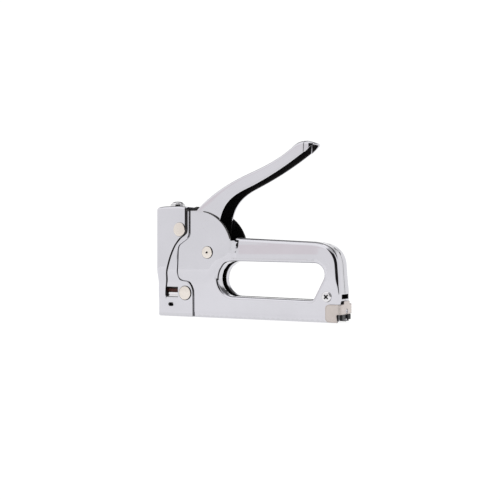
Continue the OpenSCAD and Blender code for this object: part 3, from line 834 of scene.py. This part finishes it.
def lever_surface():
    surface = Surface()
    hub = arc(PIVOT, HUB_R, 180, 360, 20)
    fan_x = TIP_X - TIP_R
    roof = [ROOF_FRONT] + bezier(ROOF_FRONT, (-46.6, 84), (-46, 85.6), ROOF_LOW, 6)
    front_count = len(roof)
    roof += bezier(ROOF_LOW, (-38, 95.4), (-18, 108.4), ROOF_MID, 60)
    roof += bezier(ROOF_MID, (16.5, 121.3), (29.5, 125.8), ROOF_HIGH, 40)
    hump = bezier(ROOF_HIGH, (48.5, 140.9), (TIP_X, 138.8), (TIP_X, 133.4), 60)
    roof += [p for p in hump if p[0] < fan_x]
    edge = bezier(EDGE_LOW, (-21.5, 90), (-14, 97), EDGE_MID, 40)
    edge += [p for p in bezier(EDGE_MID, (18, 110.6), (34, 118.6), EDGE_END, 60) if p[0] < fan_x]

    # matching stretches of the free edge and of the roof line, with the rows between them
    roof_length = [0.0]
    for p, q in zip(roof, roof[1:]):
        roof_length.append(roof_length[-1] + math.dist(p, q))

    def roof_share(x):
        i = next(k for k, p in enumerate(roof) if p[0] >= x and k >= front_count)
        return roof_length[i] / roof_length[-1]

    low_share, rear_share, handle_share = (roof_share(x) for x in (-43, -31, -24))
    stretches = [
        ([(-47.1, 81.6), (-47.2, 76)], 0.0, 0.03, 4),
        ([(-47.2, 76), hub[0]], 0.03, low_share, 10),
        (hub, low_share, rear_share, 18),
        ([hub[-1], EDGE_LOW], rear_share, handle_share, 10),
        ([EDGE_LOW] + edge, handle_share, 1.0, 84),
    ]
    rows = []
    for line, start, end, count in stretches:
        for i in range(count):
            t = i / count
            rows.append((along(line, t), along(roof, mix(start, end, t))))
    rows.append((edge[-1], roof[-1]))

    def section(foot, crest):
        """Points of one row from the free edge over the shoulder to the middle of the roof."""
        length = math.dist(foot, crest)
        radius = min(LEVER_SHOULDER, length * 0.7)
        ux, uz = (foot[0] - crest[0]) / length, (foot[1] - crest[1]) / length
        width = lever_half_width(crest[0] + ux * radius)
        points = [(d, lever_half_width(crest[0] + ux * d))
                  for d in (mix(length, radius, i / 8) for i in range(9))]
        points += [(radius * (1 - sine) + CROWN * sine, width - radius * (1 - cosine))
                   for sine, cosine in quarter(6)]
        points += [(CROWN * (1 - t * t), (width - radius) * (1 - t)) for t in TOP_SHARES]
        return [(crest[0] + ux * d, -w, crest[1] + uz * d) for d, w in points]

    surface.grid([section(*row) for row in rows])

    # the closed tip: the same section fanned round the handle's end
    top_z = roof[-1][1]
    foot_z = edge[-1][1]
    fan = []
    for i in range(13):
        angle = math.pi / 2 * (1 - i / 12)
        forward, sideways = math.cos(angle) ** TIP_SQUARE, math.sin(angle) ** TIP_SQUARE
        ring_foot = mix(foot_z, TIP_EDGE_Z, min(1.0, 1.25 * forward))
        drop = mix(CROWN, TIP_CROWN, math.cos(angle) ** 2)
        radius = LEVER_SHOULDER
        shoulder_z = top_z - drop - radius
        if shoulder_z < ring_foot + 0.3:
            radius = top_z - drop - ring_foot - 0.3
            shoulder_z = ring_foot + 0.3
        points = [(TIP_R, mix(ring_foot, shoulder_z, k / 8)) for k in range(9)]
        points += [(TIP_R - radius * (1 - cosine), shoulder_z + radius * sine)
                   for sine, cosine in quarter(6)]
        points += [((TIP_R - radius) * (1 - t), top_z - drop * (1 - t * t)) for t in TOP_SHARES]
        fan.append([(fan_x + r * forward, -r * sideways, z) for r, z in points])
    surface.grid(fan)
    return surface.mirrored(both=True)


# ---------- rear bracket ----------

BRACKET_FRONT = low("rear_bracket", 0)
BRACKET_REAR = high("rear_bracket", 0)
BRACKET_W = high("rear_bracket", 1)
BRACKET_LOW, TAB_TOP = low("rear_bracket", 2), high("rear_bracket", 2)
BRACKET_TOP, BRACKET_MOUTH = 13.8, 6.3  # tops of its sides and of its mouth
BRACKET_BEND, BRACKET_CORNER, MOUTH_CORNER = 2.6, 3.0, 1.0
TAB_W, TAB_FILLET, TAB_CORNER = 5.6, 1.2, 0.8
MOUTH_W = 14.2  # half of the mouth, measured along the sheet


def bracket_surface():
    """Sheet clip drawn flat, as [distance along the sheet, z], then folded round the rear."""
    side = BRACKET_REAR - BRACKET_BEND - BRACKET_FRONT
    bend = BRACKET_BEND * math.pi / 2
    back = BRACKET_W - BRACKET_BEND
    half = side + bend + back

    def fold(s, z):
        mirror = s > half
        d = 2 * half - s if mirror else s
        if d < side:
            x, y = BRACKET_FRONT + d, -BRACKET_W
        elif d < side + bend:
            a = (d - side) / BRACKET_BEND
            x = BRACKET_REAR - BRACKET_BEND + BRACKET_BEND * math.sin(a)
            y = -BRACKET_W + BRACKET_BEND - BRACKET_BEND * math.cos(a)
        else:
            x, y = BRACKET_REAR, -(half - d)
        return (x, -y if mirror else y, z)

    left = [(half - MOUTH_W + 0.8, BRACKET_LOW), (BRACKET_CORNER, BRACKET_LOW)]
    left += arc((BRACKET_CORNER, BRACKET_LOW + BRACKET_CORNER), BRACKET_CORNER, 270, 180, 8)[1:]
    left += arc((BRACKET_CORNER, BRACKET_TOP - BRACKET_CORNER), BRACKET_CORNER, 180, 90, 8)
    left += [(half - TAB_W - TAB_FILLET, BRACKET_TOP)]
    left += arc((half - TAB_W - TAB_FILLET, BRACKET_TOP + TAB_FILLET), TAB_FILLET, 270, 360, 5)[1:]
    left += arc((half - TAB_W + TAB_CORNER, TAB_TOP - TAB_CORNER), TAB_CORNER, 180, 90, 4)
    right = [(2 * half - s, z) for s, z in reversed(left)]
    reach, mouth_z = MOUTH_W - MOUTH_CORNER, BRACKET_MOUTH - MOUTH_CORNER
    mouth = arc((half + reach, mouth_z), MOUTH_CORNER, 0, 90, 4)
    mouth += arc((half - reach, mouth_z), MOUTH_CORNER, 90, 180, 4)
    outline = spread(left + right + mouth + left[:1], 0.7)[:-1]
    surface = Surface()
    surface.net(outline, [], fold, 0.6)
    return surface


# ---------- rivets, screws, springs ----------

def domed(radius, height, base, sign, dimple=0.0):
    """Profile of a low head with a rounded edge, from its edge to its middle, standing on base."""
    crown = 0.14 * height
    turn = height - crown - 0.1
    profile = [(radius - 0.2, base), (radius, base + sign * 0.1)]
    profile += [(radius - turn * (1 - cosine), base + sign * (0.1 + turn * sine))
                for sine, cosine in quarter(8)]
    inner = dimple + 0.35 if dimple else 0.02
    for k in range(1, 6):
        r = mix(radius - turn, inner, k / 5)
        rise = 1 - (r / (radius - turn)) ** 2
        profile.append((r, base + sign * (0.1 + turn + crown * rise)))
    if dimple:
        top = profile[-1][1]
        profile += [(dimple, top - sign * 0.2), (dimple * 0.85, top - sign * 0.8),
                    (0.02, top - sign * 0.95)]
    return profile


def rivet_surface(at, shank, radius, width, height, dimple, rim):
    """A rivet with two heads. The dimple and the outer rim of the heads get painted shade."""
    near = domed(radius, height, width, 1, dimple=dimple)
    far = domed(radius, height, -width, -1, dimple=dimple)
    profile = list(reversed(near)) + [(shank, width)] + [(shank, -width)] + far
    surface = lathe((at[0], 0, at[1]), "y", profile)
    for i, face in enumerate(surface.faces):
        reaches = [math.dist((surface.points[k][0], surface.points[k][2]), at) for k in face]
        if max(reaches) < dimple + 0.05 or min(reaches) > radius - rim:
            surface.dark.add(i)
    return surface


def cross_cutters(at, face, depth):
    """Two tapered wings of a cross recess, cut into a head that faces -y."""
    cutters = []
    for angle in (45, 135):
        a = math.radians(angle)
        rings = []
        for reach, wide, y in ((3.0, 0.75, face - 1.0), (1.3, 0.5, face + depth)):
            rings.append([(at[0] + u * math.cos(a) - v * math.sin(a), y,
                           at[1] + u * math.sin(a) + v * math.cos(a))
                          for u, v in rectangle(-reach, -wide, reach, wide)])
        cutters.append(dark_cutter(rings))
    return cutters


def slot_cutter(wide, bottom):
    """A straight slot along x, cut into a head from above."""
    reach, top = 20, bottom + 5
    plan = rectangle(SCREW_X - reach, -wide, SCREW_X + reach, wide)
    return dark_cutter([[(x, y, z) for x, y in plan] for z in (bottom, top)])


# ---------- the pieces ----------

def make_body():
    window = rectangle(-74.2, 15.8, -62.2, 24.3)
    slot = hull(arc((-70.15, 9.8), 1.55, 0, 360, 16) + arc((-67.85, 9.8), 1.55, 0, 360, 16))
    keeper = rectangle(-6.5, 17.6, 6.5, 21.2)
    mouth = rectangle(-8.2, -1, 8.2, 15.3)
    corners = rectangle(-10.4, -1, 10.4, BRACKET_MOUTH)
    for name, flange_end in (("left", -LEFT_FLANGE_END), ("right", -RIGHT_FLANGE_END)):
        shell = shell_surface(flange_end)
        piece(f"shell_{name}", shell if name == "left" else shell.mirrored(), CHROME, "frame",
              [f"body_shell_{name}"], core=(20, 0, 40), thickness=SHEET,
              windows=[[window], [slot], [keeper, 79.5], [mouth, 74.7], [corners, 77.5]], bevel=0.18,
              dark_rim=True)
    piece("nose_cover", cover_surface(), CHROME, "frame", ["front_cover"], core=(-62, 0, 45),
          thickness=SHEET, windows=[[window], [slot]], bevel=0.15, even=False, dark_rim=True)


def make_plates():
    """The plate under the bumper with its turned-down sides, and the block the raised lever meets."""
    x0, x1 = low("bumper_plate", 0), high("bumper_plate", 0)
    z0, z1, wide = low("bumper_plate", 2), high("bumper_plate", 2), high("bumper_plate", 1) + 2
    rows = []
    for x, bottom in ((x0, z0 - 0.1), (x0 + 1.2, z0 - 0.1), (x0 + 1.6, z0 - 2.4), (x1 - 2.4, z0 - 2.4),
                      (x1 - 2.0, z0 - 0.1), (x1, z0 - 0.1)):
        half = [(wide - 1.0, z0), (wide - 0.7, bottom), (wide + 0.3, bottom), (wide - 0.3, z1)]
        ring = [(-y, z) for y, z in half] + [(y, z) for y, z in reversed(half)]
        rows.append([(x, y, z) for y, z in ring])
    # the plate takes the brighter silver in place of chrome: a painted highlight where it shows in the window
    piece("bumper_plate_formed", solid(rows), SILVER, "frame",
          ["bumper_plate"], bevel=0.15)
    side = [(-53.8, 79), (-48.4, 79), (-47.6, 82.5), (-46.8, 85.6), (-46.1, 88.2), (-47.6, 90.2),
            (-50.2, 89.5), (-50.6, 86.7), (-53.6, 86.2)]
    stop = solid([[(x, y, z) for x, z in side] for y in (-5.4, 5.4)])
    piece("handle_stop_block", stop, FINISHES[slot_of("handle_stop")], "frame",
          ["handle_stop"], bevel=0.3)


def make_lever():
    piece("squeeze_lever", lever_surface(), CHROME, "lever", ["lever_shell"], core=(-10, 0, 80),
          thickness=SHEET, bevel=0.18)


def make_fasteners():
    # rim is the width of the painted shade round each head's edge
    for name, at, shank, radius, width, height, dimple, rim in (
            ("upper_rivet", UPPER_RIVET, 2.5, 5.8, HEAD_W, 1.05, 0.0, 0.30),
            ("lower_rivet", LOWER_RIVET, 2.5, 6.0, BAND_LOW_W, 1.15, 0.0, 0.55),
            ("pivot_pin", PIVOT, 3.0, 5.1, DOME_W, 1.05, 0.9, 0.45)):
        piece(f"{name}_domed", rivet_surface(at, shank, radius, width, height, dimple, rim), NICKEL,
              "frame", [name])
    head_h, thread_r, end = 1.4, 2.0, GRIP_W + 2.6
    profile = [(0.02, end), (thread_r - 0.3, end), (thread_r, end - 0.3), (thread_r, -GRIP_W)]
    profile += domed(4.1, head_h, -GRIP_W, -1)
    piece("rear_screw_cross", lathe((REAR_SCREW[0], 0, REAR_SCREW[1]), "y", profile), SILVER,
          "frame", ["rear_screw"], cutters=cross_cutters(REAR_SCREW, -GRIP_W - head_h, 1.0))
    base, tip, shank, rim, dome_r = HEAD_TOP, 81.5, 2.5, 6.2, 5.3
    dome = [(0.02, tip), (shank, tip), (shank, base), (rim - 0.3, base), (rim, base + 0.3),
            (rim, base + 1.9), (rim - 0.3, base + 2.2), (dome_r, base + 2.2)]
    dome += [(max(dome_r * cosine, 0.02), base + 2.3 + 2.3 * sine) for sine, cosine in quarter(8, 0)]
    piece("tension_screw_domed", lathe((SCREW_X, 0, 0), "z", dome), SILVER, "adjuster",
          ["tension_screw"], cutters=[slot_cutter(0.5, base + 3.3)], bevel=0.12)


def make_feeder():
    rod_z = middle("pusher_rod")[1]
    rod_hole = arc((0, rod_z), 1.9, 0, 360, 16)[:-1]
    piece("rear_clip", bracket_surface(), CLIP_NICKEL, "feeder", ["rear_bracket"],
          core=(72, 0, 9), thickness=SHEET, windows=[[rod_hole, 79]], bevel=0.15, dark_rim=True)
    front = low("pusher_rod", 0)
    rod = [(0.02, front), (1.2, front), (1.5, front + 0.3), (1.5, BRACKET_REAR - 0.1)]
    rod += [(1.0, BRACKET_REAR - 0.15), (0.7, BRACKET_REAR - 0.5), (0.02, BRACKET_REAR - 0.6)]
    piece("feeder_rod", lathe((0, 0, rod_z), "x", rod, 24), CHROME, "feeder", ["pusher_rod"])
    spring_front = low("pusher_spring", 0)
    spring_rear = high("pusher_spring", 0)
    coil = piece("feeder_spring", spring((0, 0, rod_z), "x", 2.2, 0.7, spring_front, spring_rear, 34,
                                         flat_turns=1.5, steps=16, sides=7),
                 SPRING_STEEL, "feeder", ["pusher_spring"])
    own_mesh(coil)


def make_springs():
    cup, seat = low("main_spring", 2), high("main_spring", 2)
    coil = piece("drive_spring",
                 spring((SCREW_X, 0, 0), "z", 4.6, 1.8, cup, seat, 7, steps=28, sides=12),
                 SPRING_STEEL, "frame", ["main_spring"])
    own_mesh(coil)


FINISHES = {
    "chrome": CHROME, "nickel": NICKEL, "steel": STEEL, "dark_steel": DARK_STEEL, "rubber": RUBBER,
    "black_plastic": PLASTIC,
}


def finish_cad_nodes():
    """The other CAD nodes keep their shape and get their finish and softened edges."""
    for part in frame["record"]["subparts"]:
        obj = frame["nodes"][part["node"]]
        obj.data.materials.clear()
        material = FINISHES[part["material_slot"]]
        obj.data.materials.append(SPRING_STEEL if "spring" in part["node"] else material)
        weld = obj.modifiers.new("weld", "WELD")
        weld.merge_threshold = 0.01 * MM
        if "spring" in part["node"]:
            continue
        soften(obj, 0.15, 40)


# ---------- stage, light and camera ----------

VIEW_AZIMUTH = 28.5
VIEW_DISTANCE = 672
VIEW_TARGET = (-0.8, 0, 54.55)
LENS = 60.48
FLOOR_R = 1300


def make_floor():
    mat = bpy.data.materials.new("pale_floor")
    mat.use_nodes = True
    shader = mat.node_tree.nodes["Principled BSDF"]
    set_inputs(shader, {"Base Color": (0.22, 0.22, 0.22, 1), "Roughness": 0.9, "Specular IOR Level": 0.1,
                        "Emission Color": (1, 1, 1, 1), "Emission Strength": 0.9})
    surface = Surface()
    surface.cap([(FLOOR_R * math.cos(a), FLOOR_R * math.sin(a), -0.05)
                 for a in (2 * math.pi * i / 64 for i in range(64))])
    floor = add_object("floor", surface.mesh("floor", core=(0, 0, -100)))
    floor.data.materials.append(mat)


def make_world():
    """White studio: a soft box on the left, a darker ceiling, gaps above the backdrop and a dark gap
    round the camera. Angles are in radians, and everywhere is all the way round."""
    world = bpy.data.worlds.new("studio")
    bpy.context.scene.world = world
    world.use_nodes = True
    tree = world.node_tree
    link = tree.links.new
    split = node(tree, "ShaderNodeSeparateXYZ")
    link(node(tree, "ShaderNodeTexCoord").outputs["Generated"], split.inputs[0])
    x, y, z = (split.outputs[i] for i in range(3))

    def maths(operation, a, b=None):
        n = node(tree, "ShaderNodeMath", operation=operation)
        for socket, value in zip(n.inputs, (a, b)):
            if value is None:
                continue
            if isinstance(value, (int, float)):
                socket.default_value = value
            else:
                link(value, socket)
        return n.outputs[0]

    def window(value, start, end, soft):
        """1 between start and end, with soft edges."""
        return maths("MULTIPLY", remap(tree, value, start - soft, start + soft, 0, 1),
                     remap(tree, value, end - soft, end + soft, 1, 0))

    around = maths("ARCTAN2", x, maths("MULTIPLY", y, -1))  # 0 towards -y, positive to +x
    height = maths("ARCSINE", z)
    level = 1.0
    everywhere = (-9, 9, 1)
    for shade_level, (start, end, soft), (low_h, high_h, soft_h) in (
            (1.12, (-2.2, 0.1, 0.2), (0.25, 0.80, 0.05)),  # soft box on the left
            (0.62, everywhere, (0.85, 1.30, 0.05)),  # ceiling
            (0.12, (1.9, 9, 0.15), (0.42, 0.95, 0.06)),  # gaps above the backdrop
            (0.12, (-9, -1.95, 0.15), (0.42, 0.95, 0.06)),
            (0.015, (-0.10, 1.25, 0.05), (-0.4, 0.80, 0.05))):  # dark gap round the camera
        share = maths("MULTIPLY", window(around, start, end, soft), window(height, low_h, high_h, soft_h))
        change = maths("MULTIPLY", share, maths("SUBTRACT", shade_level, level))
        level = maths("ADD", level, change)
    pink = maths("MULTIPLY", window(height, 0.13, 0.22, 0.02), window(around, -1.6, 0.0, 0.2))
    tint = blend_colours(tree, pink, (1.0, 1.0, 1.0), (0.95, 0.90, 0.91))
    studio = tree.nodes["Background"]
    link(tint, studio.inputs["Color"])
    link(level, studio.inputs["Strength"])
    plain = node(tree, "ShaderNodeBackground", {"Color": (1, 1, 1, 1), "Strength": 1.05})
    choose = node(tree, "ShaderNodeMixShader")
    link(node(tree, "ShaderNodeLightPath").outputs["Is Camera Ray"], choose.inputs[0])
    link(studio.outputs[0], choose.inputs[1])
    link(plain.outputs[0], choose.inputs[2])
    link(choose.outputs[0], tree.nodes["World Output"].inputs["Surface"])


def make_light():
    data = bpy.data.lights.new("top_light", "SUN")
    data.energy = 0.25
    data.angle = math.radians(50)
    lamp = add_object("top_light", data)
    lamp.rotation_euler = (math.radians(18), math.radians(-14), 0)


def make_camera():
    data = bpy.data.cameras.new("camera")
    data.lens = LENS
    data.sensor_width = 36
    camera = add_object("camera", data)
    a = math.radians(VIEW_AZIMUTH)
    back = Vector((math.sin(a), -math.cos(a), 0))
    camera.location = (Vector(VIEW_TARGET) + back * VIEW_DISTANCE) * MM
    camera.rotation_euler = (-back).to_track_quat("-Z", "Y").to_euler()
    data.clip_start, data.clip_end = 0.01, 100
    bpy.context.scene.camera = camera


bpy.context.scene.view_settings.view_transform = "Standard"
make_camera()
make_floor()
make_world()
make_light()
finish_cad_nodes()
make_body()
make_plates()
make_lever()
make_fasteners()
make_feeder()
make_springs()
